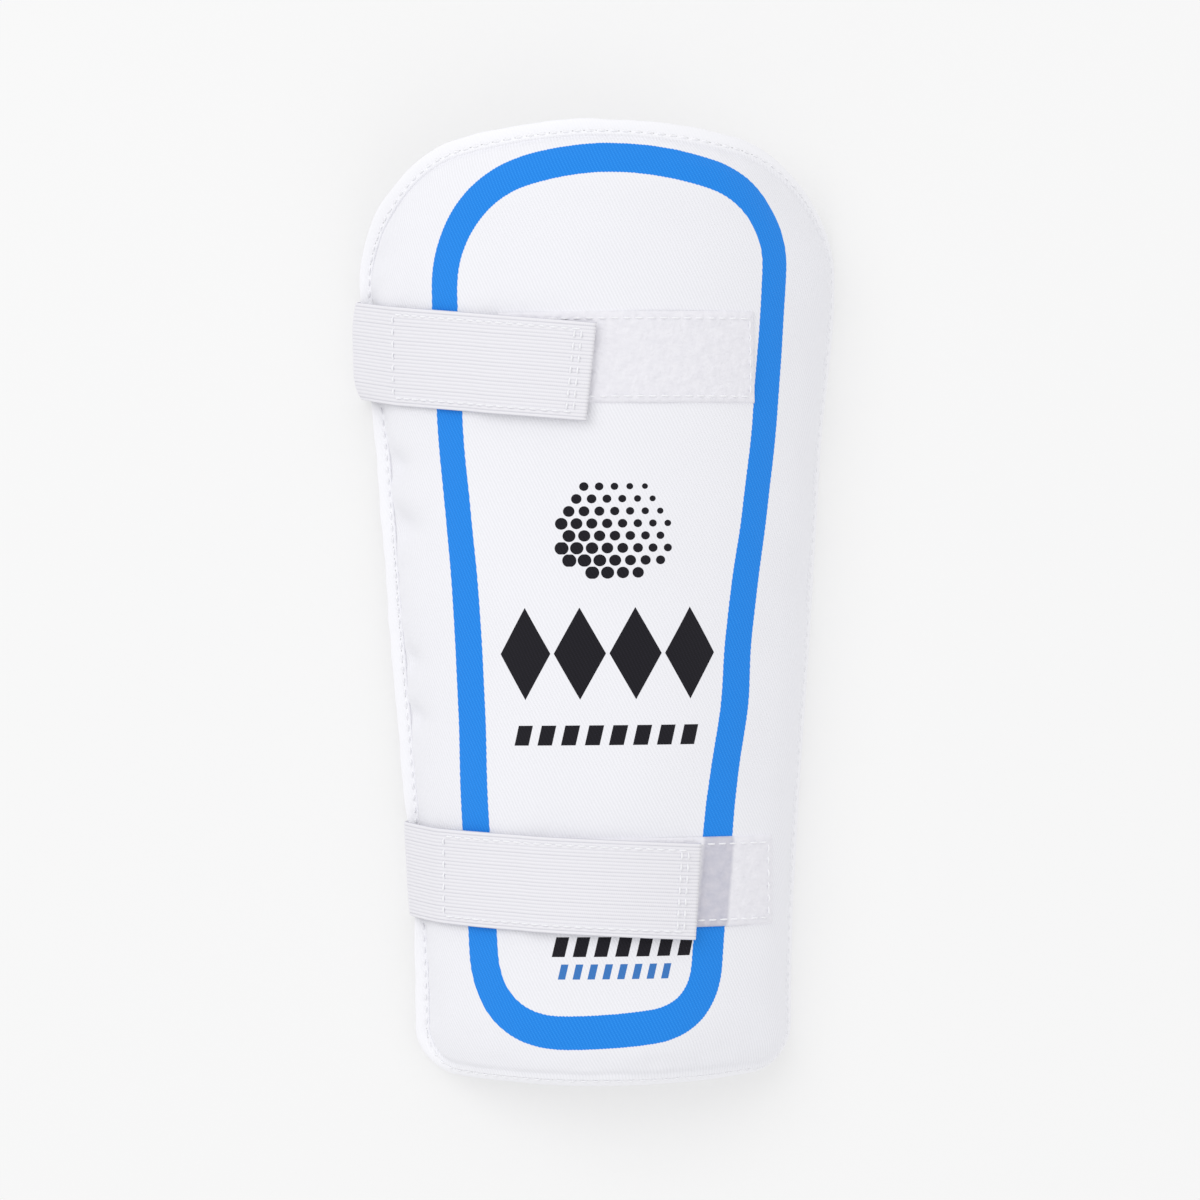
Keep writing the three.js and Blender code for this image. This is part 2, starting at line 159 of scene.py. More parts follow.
def seam_inset(dip):
    return RIM_WIDTH * np.cos(dip) + HEM_TOP * np.sin(dip)


def rim_drop(dip):
    return RIM_WIDTH * math.sin(dip) + (LINING + LAYER_GAP / 2) * math.cos(dip)


STRAP_INSET = float(seam_inset(STRAP_SIDE_DIP))
FREE_INSET = float(seam_inset(FREE_SIDE_DIP))
SEAM_MIDDLE = (STRAP_INSET - FREE_INSET) / 2
STRAP_SEAM_Z = STRAP_THICKNESS + LAYER_GAP + rim_drop(STRAP_SIDE_DIP)
FREE_SEAM_Z = rim_drop(FREE_SIDE_DIP)


def seam_half(y):
    return half_width(y) - (STRAP_INSET + FREE_INSET) / 2


def unit(vectors):
    return vectors / np.linalg.norm(vectors, axis=-1, keepdims=True)


def middle_sheet(x, y):
    """z is half(y) * (sqrt(r^2 - u^2) - (r - a)), with u the share across from -1 to 1, a the
    arch share and r = (1 + a^2) / 2a, plus the height of the two seams, mixed by u."""
    x, y = np.broadcast_arrays(np.asarray(x, float), np.asarray(y, float))
    half = seam_half(y)
    arch = section("arch", y)
    r = (1 + arch**2) / (2 * arch)
    u = (x - SEAM_MIDDLE) / half
    rise = np.sqrt(r**2 - np.minimum(u**2, FARTHEST_SHARE)) - (r - arch)
    seam = STRAP_SEAM_Z + (FREE_SEAM_Z - STRAP_SEAM_Z) * (u + 1) / 2
    return np.stack([x, y, seam + rise * half], -1)


def sheet_normal(x, y):
    """The cross product of the sheet's two slopes, each measured over a short step."""
    step = 0.5 * MM
    across = middle_sheet(x + step, y) - middle_sheet(x - step, y)
    along = middle_sheet(x, y + step) - middle_sheet(x, y - step)
    return unit(np.cross(across, along))


def arc_run(x, y):
    """Length over the arc from the strap side's seam: half * r * (asin(u / r) + asin(1 / r))."""
    half = seam_half(y)
    arch = section("arch", y)
    r = (1 + arch**2) / (2 * arch)
    u = np.clip((x - SEAM_MIDDLE) / half, -1, 1)
    return half * r * (np.arcsin(u / r) + np.arcsin(1 / r))


print(f"crown of the sheet at {float(middle_sheet(0, along_y(0.8))[2]) / MM:.1f} mm")

# %% The outline as a rim of stations
RAYS = 1441
RIM_STEPS = 820
SEAM_STEPS = 260


def corner_depth(side, end, radius):
    """Depth inside two edges whose corner is rounded: radius less the distance to its centre."""
    return radius - np.hypot(np.maximum(radius - side, 0), np.maximum(radius - end, 0))


def pad_depth(x, y):
    side = half_width(y) - np.abs(x)
    elbow = ELBOW_Y - x**2 / (2 * ELBOW_EDGE_RADIUS) - y
    wrist = y - WRIST_Y - x**2 / (2 * WRIST_EDGE_RADIUS)
    elbow = corner_depth(side, elbow, SHOULDER_RADIUS)
    wrist = corner_depth(side, wrist, WRIST_CORNER_RADIUS)
    return np.minimum(elbow, wrist)


def trace(depth, first, last):
    """Where depth is 0 along rays from the origin, by halving each ray 40 times."""
    angles = np.linspace(first, last, RAYS)
    ray = np.stack([np.cos(angles), np.sin(angles)])
    inside = np.zeros(RAYS)
    outside = np.full(RAYS, LENGTH)
    for _ in range(40):
        middle = (inside + outside) / 2
        deep = depth(*(middle * ray)) > 0
        inside = np.where(deep, middle, inside)
        outside = np.where(deep, outside, middle)
    return (inside * ray).T


def run_along(line):
    """Length along a line of points, at each of them."""
    return np.concatenate([[0], np.cumsum(np.linalg.norm(np.diff(line, axis=0), axis=1))])


def sample(line, run, at):
    """Points of a line, or its normals, where the length along it reaches given values."""
    return np.stack([np.interp(at, run, column) for column in line.T], -1)


def equal_steps(line, count):
    run = run_along(line)
    return sample(line, run, np.linspace(0, run[-1], count + 1))


def rim_stations(count):
    """For each step round the rim: outward direction, dip, seam point and spine point."""
    half = count // 2
    right = equal_steps(trace(pad_depth, math.pi / 2, -math.pi / 2), half)
    right[[0, -1], 0] = 0
    edge = np.concatenate([right, right[-2:0:-1] * (-1, 1)])
    tangent = unit(np.roll(edge, -1, 0) - np.roll(edge, 1, 0))
    out = np.stack([-tangent[:, 1], tangent[:, 0]], -1)
    dip = np.abs(out[:, 0]) * np.where(out[:, 0] < 0, STRAP_SIDE_DIP, FREE_SIDE_DIP)
    dip = dip + np.minimum(out[:, 1], 0) ** 2 * WRIST_END_DIP
    seam = edge - out * seam_inset(dip)[:, None]
    step = np.arange(count)
    turn = np.where(step <= half, step, count - step) / half
    reach = LENGTH / 2 - HALF_SHOULDER * 2 / 3
    spine = np.stack([np.full(count, SEAM_MIDDLE), reach * (1 - 2 * turn)], -1)
    return {"out": out, "dip": dip, "seam": seam, "spine": spine}


rim = rim_stations(RIM_STEPS)
seam_line = middle_sheet(*rim_stations(SEAM_STEPS)["seam"].T)
print("rim steps:", len(rim["seam"]), "seam points:", len(seam_line))

# %% Distances over the surface


def cloth_plan(x, y):
    """Places on the cloth laid flat: the run over the arc from the middle, and y."""
    run = arc_run(x, y) - arc_run(np.full_like(x, SEAM_MIDDLE), y)
    return np.stack([run, y, np.zeros_like(y)], -1)


def line_distance(points, line, block=3000):
    """Least distance from each point to a closed line of straight pieces, block by block."""
    flat = points.reshape(-1, 3)
    reach = np.roll(line, -1, 0) - line
    size = (reach**2).sum(-1)
    least = np.empty(len(flat))
    for i in range(0, len(flat), block):
        gap = flat[i : i + block, None] - line
        share = np.clip((gap * reach).sum(-1) / size, 0, 1)
        least[i : i + block] = np.sqrt(((gap - share[..., None] * reach) ** 2).sum(-1).min(1))
    return least.reshape(points.shape[:-1])


def rounded_rise(distance):
    """Foam swell from 0 at the seam to 1 a run away, as 1 - (1 - t)^2."""
    return 1 - (1 - np.minimum(distance / FOAM_EDGE_RUN, 1)) ** 2


def cover(x, y, lift=0.0, relief=0.0):
    """The cover's outside: the middle sheet, moved out by the hem and the swell of the foam."""
    base = middle_sheet(x, y)
    swell = (FOAM_ABOVE_SEAM - HEM) * rounded_rise(line_distance(base, seam_line))
    height = HEM_TOP + swell + lift + relief
    return base + sheet_normal(x, y) * np.asarray(height)[..., None]


def underside(x, y, drop=0.0):
    """The foam's underside, the middle sheet moved in by the swell below the seam."""
    base = middle_sheet(x, y)
    swell = FOAM_BELOW_SEAM * rounded_rise(line_distance(base, seam_line))
    return base - sheet_normal(x, y) * np.asarray(LAYER_GAP / 2 + swell + drop)[..., None]


def rim_points(stations, share, height):
    """On the rim, a share of the way from the seam to the edge and a height over its middle."""
    start = middle_sheet(*stations["seam"].T)
    reach = RIM_WIDTH * share
    dip = stations["dip"]
    flat = np.cos(dip) * reach + np.sin(dip) * height
    fall = np.sin(dip) * reach - np.cos(dip) * height
    xy = start[:, :2] + stations["out"] * flat[:, None]
    return np.concatenate([xy, (start[:, 2] - fall)[:, None]], -1)


# %% Soft unevenness from seeded waves


def uneven(x, y, seed, count, shortest, longest):
    """Mean of sines over the plan, in all directions and with lengths in a range, scaled so
    that it mostly stays between -1 and 1."""
    draw = np.random.default_rng(seed)
    length = np.exp(draw.uniform(math.log(shortest), math.log(longest), count))
    angle = draw.uniform(0, 2 * math.pi, count)
    phase = draw.uniform(0, 2 * math.pi, count)
    total = np.zeros(np.broadcast(x, y).shape)
    for wave, turn, start in zip(2 * math.pi / length, angle, phase):
        total += np.sin(wave * (math.cos(turn) * x + math.sin(turn) * y) + start)
    return total / math.sqrt(count)


print("unevenness at the middle:", round(float(uneven(0.0, 0.0, 4, 12, 0.02, 0.06)), 3))

# %% [markdown]
# Meshes are filled from whole arrays. Two builders are enough for this object. One closes a
# stack of rings that folds onto a spine at both ends, for the pad and its lining. The other
# closes the space between a lower and an upper grid, for the straps, tapes and patches.

# %% Mesh builders


def add_object(name, data):
    obj = bpy.data.objects.new(name, data)
    bpy.context.scene.collection.objects.link(obj)
    return obj


def new_object(name, points, quads):
    """A smooth mesh object at the origin, its vertices moved across to the pad's middle."""
    mesh = bpy.data.meshes.new(name)
    mesh.from_pydata(points.reshape(-1, 3) + (CENTRE_X, 0, 0), [], quads)
    mesh.shade_smooth()
    mesh.validate()
    return add_object(name, mesh)


def mark(obj, name, values):
    """Stores a number or a vector for each vertex, for the materials to read."""
    values = np.asarray(values, float)
    kind, field = ("FLOAT_VECTOR", "vector") if values.ndim > 1 else ("FLOAT", "value")
    obj.data.attributes.new(name, kind, "POINT").data.foreach_set(field, values.ravel())


def ring_object(name, rings, marks):
    """Rings of equal count, outermost side out. The first and last fold onto the spine, where
    step i and step count - i are the same point."""
    depth, count = rings.shape[:2]
    step = np.arange(count)
    index = np.arange(depth * count).reshape(depth, count)
    index[0] = np.minimum(step, (count - step) % count)
    index[-1] = index[-1][index[0]]
    beside = np.roll(index, -1, 1)
    quads = np.stack([index[:-1], beside[:-1], beside[1:], index[1:]], -1).reshape(-1, 4)
    used, packed = np.unique(quads, return_inverse=True)
    obj = new_object(name, rings.reshape(-1, 3)[used], packed.reshape(-1, 4))
    for key, values in marks.items():
        width = values.shape[2:]
        mark(obj, key, values.reshape(-1, *width)[used])
    return obj


def layer_object(name, lower, upper, marks):
    """The closed space between two grids of rows and columns."""
    rows, columns = upper.shape[:2]
    size = rows * columns
    top = np.arange(size).reshape(rows, columns)
    cap = np.stack([top[:-1, :-1], top[:-1, 1:], top[1:, 1:], top[1:, :-1]], -1).reshape(-1, 4)
    edge = np.concatenate([top[0, :-1], top[:-1, -1], top[-1, :0:-1], top[:0:-1, 0]])
    after = np.roll(edge, -1)
    wall = np.stack([after, edge, edge + size, after + size], -1)
    points = np.concatenate([upper.reshape(-1, 3), lower.reshape(-1, 3)])
    obj = new_object(name, points, np.concatenate([cap, cap[:, [0, 3, 2, 1]] + size, wall]))
    for key, values in marks.items():
        flat = values.reshape(size, *values.shape[2:])
        mark(obj, key, np.concatenate([flat, flat]))
    return obj


# %% [markdown]
# The printed frame is a closed line of even width. Its middle line is worked out the same way
# as the outline, from a tapering half width, a bowed top, a nearly straight foot and rounded
# corners. It was printed a little askew, so its middle drifts across. Each vertex keeps its
# distance to that line over the surface, and the material paints where the distance is small,
# which keeps the edge sharp between vertices.

# %% The printed frame's middle line
FRAME_TOP_Y = 122.7 * MM
FRAME_FOOT_Y = -117.7 * MM
FRAME_TOP_BOW = 84 * MM
FRAME_TOP_APEX = 4 * MM
FRAME_FOOT_BOW = 175 * MM
FRAME_FOOT_SLOPE = 0.06
# How far from each corner its rounding starts, on the strap side and on the other
FRAME_TOP_REACHES = (22 * MM, 18 * MM)
FRAME_FOOT_REACHES = (21 * MM, 14 * MM)
FRAME_LINE_HALF = 4.3 * MM
FRAME_POINTS = 480

# Millimetres at places along the guard: half width of the frame and its middle across
FRAME_SECTIONS = {
    "y": [-120, -98, -58.5, -45.5, -28, -10, 7.5, 25, 42.5, 86, 125],
    "half": [29.6, 31.0, 33.9, 34.9, 36.4, 37.4, 38.9, 41.0, 42.8, 45.4, 45.4],
    "middle": [-2.6, -2.1, -1.3, -0.6, 0.6, 0.9, 1.4, 2.0, 2.3, 3.4, 4.3],
}


def soft_corner(first, second, reach):
    """Depth inside two edges: the smaller one, less a bite of a quarter of the reach where they
    are equal, which fades with the square of their difference and makes the corner a parabola."""
    bite = np.clip(1 - np.abs(first - second) / reach, 0, 1) ** 2 * reach / 4
    return np.minimum(first, second) - bite


def frame_depth(x, y):
    knots, halves, middles = FRAME_SECTIONS.values()
    half = through(knots, halves, y / MM) * MM
    middle = through(knots, middles, y / MM) * MM
    side = half - np.abs(x - middle)
    top = FRAME_TOP_Y - (x - FRAME_TOP_APEX) ** 2 / (2 * FRAME_TOP_BOW) - y
    foot = y - (FRAME_FOOT_Y + FRAME_FOOT_SLOPE * x + x**2 / (2 * FRAME_FOOT_BOW))
    upper = soft_corner(side, top, np.where(x < middle, *FRAME_TOP_REACHES))
    lower = soft_corner(side, foot, np.where(x < middle, *FRAME_FOOT_REACHES))
    return np.minimum(upper, lower)


def under_cover(plan):
    """The sheet's x and y below a place seen on the cover. The cover stands off along the
    normal, so the place is moved back by the plan offset found there, a few times over."""
    place = plan.copy()
    for _ in range(5):
        place -= cover(*place.T)[:, :2] - plan
    return place


frame_plan = equal_steps(trace(frame_depth, 0, 2 * math.pi), FRAME_POINTS)[:-1]
frame_line = cover(*under_cover(frame_plan).T)
print("frame line:", len(frame_line), "points")

# %% [markdown]
# The pad is the piece that shows most. Its cover swells from the seam over the foam, and the
# stitching draws small puckers into it beside the rim, mostly on the strap side. I lay explicit
# dents where the real one has them, add a fine gathering that fades away from the seam, and let
# the large face wander by a fraction of a millimetre, because no sewn foam is perfectly smooth.

# %% Dents and gathers of the cover
# along: share of the length; side: -1 on the strap side; deep and reach in millimetres
PUCKERS = {
    "along": [0.65, 0.585, 0.445, 0.385, 0.87, 0.2, 0.52, 0.3],
    "side": [-1, -1, -1, -1, -1, -1, 1, 1],
    "deep": [3.0, 3.2, 2.5, 2.5, 0.9, 0.8, 0.7, 0.7],
    "reach": [6.5, 7.5, 5.5, 5.5, 7.0, 6.0, 6.0, 6.0],
}
PUCKER_BELL = 0.65
GATHER = 0.2 * MM
FACE_WANDER = 0.16 * MM
MARGIN_WANDER = 0.3 * MM
SEAM_NICK = 0.75 * MM


def cover_relief(x, y, distance):
    """Lowering by dents, each a bell over the length that deepens from the seam to its reach and
    then fades. On top come gathers that fade with distance from the seam, a wander of the face
    that grows towards it, and a nick along the stitching itself."""
    total = np.zeros(np.broadcast(x, y).shape)
    for along, side, deep, reach in zip(*PUCKERS.values()):
        same = np.sign(x) == side
        bell = np.exp(-(((y - along_y(along)) / (PUCKER_BELL * reach * MM)) ** 2))
        share = distance / (reach * MM)
        inward = share * np.exp((1 - share**2) / 2)
        total -= same * deep * MM * bell * inward
    near = np.exp(-distance / (5 * MM)) * np.minimum(distance / (0.8 * MM), 1)
    total += GATHER * near * uneven(x, y, 11, 14, 6 * MM, 14 * MM)
    wander = FACE_WANDER + MARGIN_WANDER * np.exp(-distance / (16 * MM))
    wander *= np.minimum(distance / (6 * MM), 1)
    total += wander * uneven(x, y, 23, 16, 22 * MM, 60 * MM)
    return total - SEAM_NICK * np.exp(-((distance / (0.9 * MM)) ** 2))


# %% The pad's rings
STITCH_SHARE = 0.3
GROOVE_SHARE = 0.12
OUTSIDE_RINGS = 84
RING_CROWDING = 1.4
# Rings as shares: of the rim's width for the hem, and of the way to the spine below the foam
HEM_SHARES = [0.08, 0.16, 0.24, 0.32, 0.42, 0.6, 0.78, 0.88, 0.95, 1.0, 1.02]
HEM_BACK_SHARES = [0.98, 0.5]
UNDERSIDE_SHARES = [0, 0.03, 0.08, 0.16, 0.28, 0.45, 0.7, 1.0]
# Where the straps pull the rim in, as shares of the length, and how far, as shares of its width
STRAP_PULLS = ((0.7625, 0.1), (0.2245, 0.2))


def plan_ring(share):
    flat = rim["seam"] + (rim["spine"] - rim["seam"]) * share
    return flat[:, 0], flat[:, 1]


def hem_height(share):
    """The hem's top over its middle: lower by three tenths in a groove along the stitches and by
    four tenths at the seam, with an outer edge that is rounded from a share of 0.8 on."""
    groove = 0.3 * np.exp(-(((share - STITCH_SHARE) / GROOVE_SHARE) ** 2))
    rounding = np.sqrt(np.clip(1 - np.clip((share - 0.8) / 0.26, 0, 1) ** 2, 0, 1))
    start = 0.4 * np.exp(-((share / 0.09) ** 2))
    return HEM_TOP * (1 - groove - start) * rounding + LAYER_GAP / 2 * (1 - rounding)


def rim_ease():
    """How far the rim's edge wanders, as a factor on its width. Both straps pull it in."""
    x, y = rim["seam"].T
    ease = 1 + 0.035 * uneven(x, y, 31, 12, 9 * MM, 40 * MM)
    for along, pull in STRAP_PULLS:
        ease -= (x < 0) * pull * np.exp(-(((y - along_y(along)) / (16 * MM)) ** 4))
    return ease


def hem_cloth(share):
    """The seam's place on the flat cloth, moved outwards by the share of the rim's width."""
    plan = cloth_plan(*rim["seam"].T)
    plan[:, :2] += rim["out"] * RIM_WIDTH * share
    return plan


def pad_rings():
    """Rings from the crown out over the cover, round the hem and in along the underside, and
    their places on the flat cloth."""
    outside = np.linspace(1, 0, OUTSIDE_RINGS) ** RING_CROWDING
    x, y = np.stack([plan_ring(share) for share in outside], 1)
    distance = line_distance(middle_sheet(x, y), seam_line)
    top = cover(x, y, relief=cover_relief(x, y, distance))
    ease = rim_ease()
    rings = [rim_points(rim, share * ease, hem_height(share)) for share in HEM_SHARES]
    rings += [rim_points(rim, share * ease, LAYER_GAP / 2) for share in HEM_BACK_SHARES]
    rings += [underside(*plan_ring(share)) for share in UNDERSIDE_SHARES]
    cloth = [hem_cloth(share) for share in HEM_SHARES + HEM_BACK_SHARES]
    cloth += [cloth_plan(*plan_ring(share)) for share in UNDERSIDE_SHARES]
    return np.concatenate([top, rings]), np.concatenate([cloth_plan(x, y), cloth])


pad_stack, pad_cloth = pad_rings()
print("pad rings:", pad_stack.shape)

# %% The pad's marks and object
FAR = 1.0
LINE_WIDENING = 0.45 * MM
WIDENING_FROM_Y = 20 * MM
WIDENING_RUN = 120 * MM


def frame_reach(points):
    """Distance to the printed line's middle, less a widening towards the wrist end."""
    share = np.clip((WIDENING_FROM_Y - points[..., 1]) / WIDENING_RUN, 0, 1)
    return line_distance(points, frame_line) - LINE_WIDENING * share


pad_reach = np.full(pad_stack.shape[:2], FAR)
pad_reach[:OUTSIDE_RINGS] = frame_reach(pad_stack[:OUTSIDE_RINGS])
pad_hem = np.zeros_like(pad_reach)
pad_hem[OUTSIDE_RINGS : OUTSIDE_RINGS + len(HEM_SHARES)] = np.array(HEM_SHARES)[:, None]
rim_phase = np.broadcast_to(np.arange(RIM_STEPS) / RIM_STEPS, pad_reach.shape)
pad_marks = {"cloth": pad_cloth, "frame_reach": pad_reach, "hem_share": pad_hem}
pad = ring_object("front_pad_cloth", pad_stack, {**pad_marks, "rim_phase": rim_phase})
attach(pad, "root")
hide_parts("front_pad")
print("pad faces:", len(pad.data.polygons))

# %% [markdown]
# The lining is a thinner cloth on the arm's side. It follows the foam's underside and ends in
# its own hem just below the cover's, which is why the rim shows two edges from the front.

# %% The lining
LINING_SHARES = np.linspace(1, 0, 34) ** 1.3
LINING_WANDER = 0.18 * MM
# The hem's rings: a share of the rim's width, and how far down in thicknesses of the lining
LINING_HEM = (
    (0.3, 0.07), (0.75, 0), (0.97, 0.15), (1.03, 0.5), (0.97, 0.88), (0.75, 1), (0.3, 0.9),
)


def lining_ring(share, drop):
    """A ring of the lining that far below the foam, with a soft wander away from the seam."""
    x, y = plan_ring(share)
    wander = LINING_WANDER * uneven(x, y, 47, 12, 12 * MM, 45 * MM) * min(share * 12, 1)
    return underside(x, y, drop + wander)


def lining_rings():
    ease = rim_ease() + 0.02 * uneven(*rim["seam"].T, 53, 12, 9 * MM, 40 * MM)
    rings = [lining_ring(share, LAYER_GAP) for share in LINING_SHARES]
    for share, drop in LINING_HEM:
        rings.append(rim_points(rim, share * ease, -LAYER_GAP / 2 - drop * LINING))
    rings += [lining_ring(share, LAYER_GAP + LINING) for share in LINING_SHARES[::-1]]
    layer = [cloth_plan(*plan_ring(share)) for share in LINING_SHARES]
    return np.stack(rings), np.stack(layer + [hem_cloth(h[0]) for h in LINING_HEM] + layer[::-1])


lining_stack, lining_plan = lining_rings()
lining = ring_object("back_lining_cloth", lining_stack, {"cloth": lining_plan})
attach(lining, "root")
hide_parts("back_lining")

# %% [markdown]
# Each strap is a band of ribbed elastic. It is sewn inside the free side, crosses the hollow,
# turns round the other rim and lies over the front, where hook tape under its end grips a loop
# patch. One guard side line is worked out for every place over the strap's width, and the
# thickness and the ribs are added along the line's own normal.

# %% The straps' sizes
# y, tip, patch and hook tape: shares of the length or, from the middle, of the seam's half width
STRAPS = {
    "upper": {
        "y": along_y(0.7695), "width": 27 * MM, "tip_width": 0.985, "lean": 0.104,
        "slack": 2.0 * MM, "pull": 0.4 * MM, "tip": -0.04, "hook_start": -0.702,
        "patch_y": along_y(0.756), "patch_start": -0.426, "patch_end": 0.629,
    },
    "lower": {
        "y": along_y(0.2245), "width": 26.5 * MM, "tip_width": 1.01, "lean": 0.065,
        "slack": 0.3 * MM, "pull": 0.9 * MM, "tip": 0.44, "hook_start": -0.722,
        "patch_y": along_y(0.2135), "patch_start": -0.309, "patch_end": 0.835,
    },
}
PATCH_WIDTH = 25 * MM
PATCH_THICKNESS = 1 * MM
HOOK_THICKNESS = 1 * MM
HOOK_INSET = 1.8 * MM
HOOK_END_INSET = 1.2 * MM
CLIMB = 7 * MM
FLAT_RUN = 12 * MM
PRESSED_GAP = 0.12 * MM
ELASTIC_THICKNESS = 1 * MM
TURN_SHARE = -0.84
SEWN_SHARES = (0.86, 0.9, 0.94, 0.98)
FRONT_ANCHORS = 22
ROW_STEP = 0.95 * MM
TURN_ROW_STEP = 0.4 * MM
HIDDEN_ROWS = 44


def across_x(share, y):
    return SEAM_MIDDLE + share * seam_half(y)


def smooth(value, low, high):
    t = np.clip((value - low) / (high - low), 0, 1)
    return t * t * (3 - 2 * t)


def hook_lift(strap, x):
    """The hook tape's underside over the cover. It climbs onto the patch before its edge."""
    start = across_x(strap["patch_start"], strap["y"])
    climb = smooth(x, start - CLIMB, start - LAYER_GAP)
    return PRESSED_GAP + climb * (PATCH_THICKNESS + PRESSED_GAP)


def front_run(strap, share):
    """Length over the front from the turn to a share across."""
    return arc_run(across_x(share, strap["y"]), strap["y"])


def strap_y(strap, run, side, inset=0.0):
    """y of a line over the strap's width: the turn's place, less the lean over the run, plus
    the side's share of a half width that narrows towards the tip."""
    tip_run = front_run(strap, strap["tip"])
    half = strap["width"] / 2 * (1 + (strap["tip_width"] - 1) * np.clip(run / tip_run, 0, 1))
    return strap["y"] - np.sin(strap["lean"]) * run + side * (half - inset)


# %% The line of a strap


def strap_anchors(strap, sides):
    """Guard side points in order from the tip: over the front, round the rim, flat on the
    table, across the hollow and up the lining, each for every side over the width."""
    y0 = strap["y"]
    tip = across_x(strap["tip"], y0)
    turn = across_x(TURN_SHARE, y0)
    rows = []
    for x in np.linspace(tip, turn, FRONT_ANCHORS):
        y = strap_y(strap, arc_run(x, y0), sides)
        lift = hook_lift(strap, x) + HOOK_THICKNESS + PRESSED_GAP
        squared = smooth(x, turn, tip)
        shift = sides * strap["width"] / 2 * math.sin(strap["lean"]) * squared
        rows.append(cover(x + shift, y, lift))
    edge = strap["pull"] - half_width(strap_y(strap, 0.0, sides))
    stack = HEM + LINING + LAYER_GAP
    tuck = stack * math.sin(STRAP_SIDE_DIP)
    hem_top = STRAP_THICKNESS + LAYER_GAP + stack * math.cos(STRAP_SIDE_DIP)
    floor = ELASTIC_THICKNESS
    rise = hem_top - floor
    bulge = (1 - 0.5 * sides) * (1 - np.abs(sides) ** 3.5) + 0.6 * np.minimum(sides, 0) ** 2
    out = PRESSED_GAP + strap["slack"] * bulge
    below = edge + tuck + 1.4 * MM
    # x, height and run of the places that lead round the rim and onto the table
    places = [
        (edge - out, hem_top + 1.5 * MM, 0),
        (edge - out, hem_top - 0.8 * MM, -2 * MM),
        (edge + tuck / 2 - out, floor + 0.45 * rise, -3.5 * MM),
        (edge + tuck - PRESSED_GAP - 0.3 * strap["slack"], floor + 0.12 * rise, -5 * MM),
        (below, floor, -6.5 * MM),
        (below + 2 * MM, floor, -8.5 * MM),
        (below + FLAT_RUN, floor, -6.5 * MM - FLAT_RUN),
        (below + FLAT_RUN + 2 * MM, floor, -8.5 * MM - FLAT_RUN),
    ]
    for x, z, run in places:
        y = strap_y(strap, run, sides)
        rows.append(np.stack([x, y, np.full_like(y, z)], -1))
    sewn = []
    for share in SEWN_SHARES:
        x = across_x(share, y0)
        y = strap_y(strap, -(x - edge.mean()), sides)
        sewn.append(underside(np.full_like(y, x), y, LINING + 2.2 * LAYER_GAP))
    start = rows[-1]
    for share in (0.25, 0.5, 0.75):
        rows.append(start + (sewn[0] - start) * (share, share, share**1.6))
    return np.stack(rows + sewn)


def strap_surface(strap, columns):
    """Rows along the strap and columns over its width, with the normal that points away from
    the guard and the run along the strap."""
    sides = np.linspace(-1, 1, columns)
    anchors = strap_anchors(strap, sides)
    knots = run_along(anchors[:, columns // 2])
    turn_start = knots[FRONT_ANCHORS - 2]
    turn_end = knots[FRONT_ANCHORS + 6]
    at = np.concatenate([
        np.arange(0, turn_start, ROW_STEP),
        np.arange(turn_start, turn_end, TURN_ROW_STEP),
        np.linspace(turn_end, knots[-1], HIDDEN_ROWS),
    ])
    line = through(knots, anchors, at)
    along = np.gradient(line, axis=0)
    over = np.gradient(line, axis=1)
    away = unit(np.cross(over, along))
    return {"line": line, "away": away, "run": at, "side": sides}


print(f"upper strap's front run: {front_run(STRAPS['upper'], STRAPS['upper']['tip']) / MM:.1f} mm")

# %% [markdown]
# The elastic shows fine ribs along its length, about a millimetre apart, with two flatter ribs
# in the selvedge at each edge. The ribs are real relief, so they catch the light and stay in
# the mesh. The faint knit on them is left to the material.

# %% Ribbed elastic
RIBS = 26
COLUMNS_A_RIB = 6
RIB_HEIGHT = 0.16 * MM
SELVEDGE = 0.075
THIN_EDGE = 0.04


def rib_profile(side):
    """Height over the band, up to 1: a rounded ridge for each rib down to 0 between them, and
    two flatter ridges within each selvedge, with deeper grooves down to -0.5 beside them."""
    inner = np.abs(side) < 1 - 2 * SELVEDGE
    phase = (side + 1 - 2 * SELVEDGE) / (2 - 4 * SELVEDGE) * (RIBS - 3)
    ridge = np.abs(np.sin(math.pi * phase)) ** 0.7
    edge_phase = (1 - np.abs(side)) / SELVEDGE
    edge = 1.5 * np.abs(np.sin(math.pi * edge_phase)) ** 0.5 - 0.5
    return np.where(inner, ridge, edge)


def make_strap(name):
    surface = strap_surface(STRAPS[name], COLUMNS_A_RIB * RIBS + 1)
    side = surface["side"]
    run = surface["run"]
    rib = rib_profile(side)
    across, along = np.meshgrid(side * STRAPS[name]["width"] / 2, run)
    wander = uneven(along, across, 61, 10, 6 * MM, 40 * MM)
    thin_edge = 0.22 * np.clip((np.abs(side) - 1) / THIN_EDGE + 1, 0, 1) ** 2
    top = ELASTIC_THICKNESS * (1 - thin_edge) - RIB_HEIGHT * (1 - rib) + 0.05 * MM * wander
    low = ELASTIC_THICKNESS * thin_edge + 0.4 * RIB_HEIGHT * (1 - rib)
    cut = np.exp(-run / (0.5 * MM))[:, None]
    top = top - 0.25 * ELASTIC_THICKNESS * cut
    low = low + 0.2 * ELASTIC_THICKNESS * cut
    upper = surface["line"] + surface["away"] * top[..., None]
    lower = surface["line"] + surface["away"] * low[..., None]
    marks = {"cloth": np.stack([along, across, 0 * along], -1), "rib": rib + 0 * along}
    obj = layer_object(f"{name}_strap_elastic", lower, upper, marks)
    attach(obj, "root")
    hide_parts(f"{name}_strap")
    surface["top"] = upper
    print(name, "strap faces:", len(obj.data.polygons))
    return surface


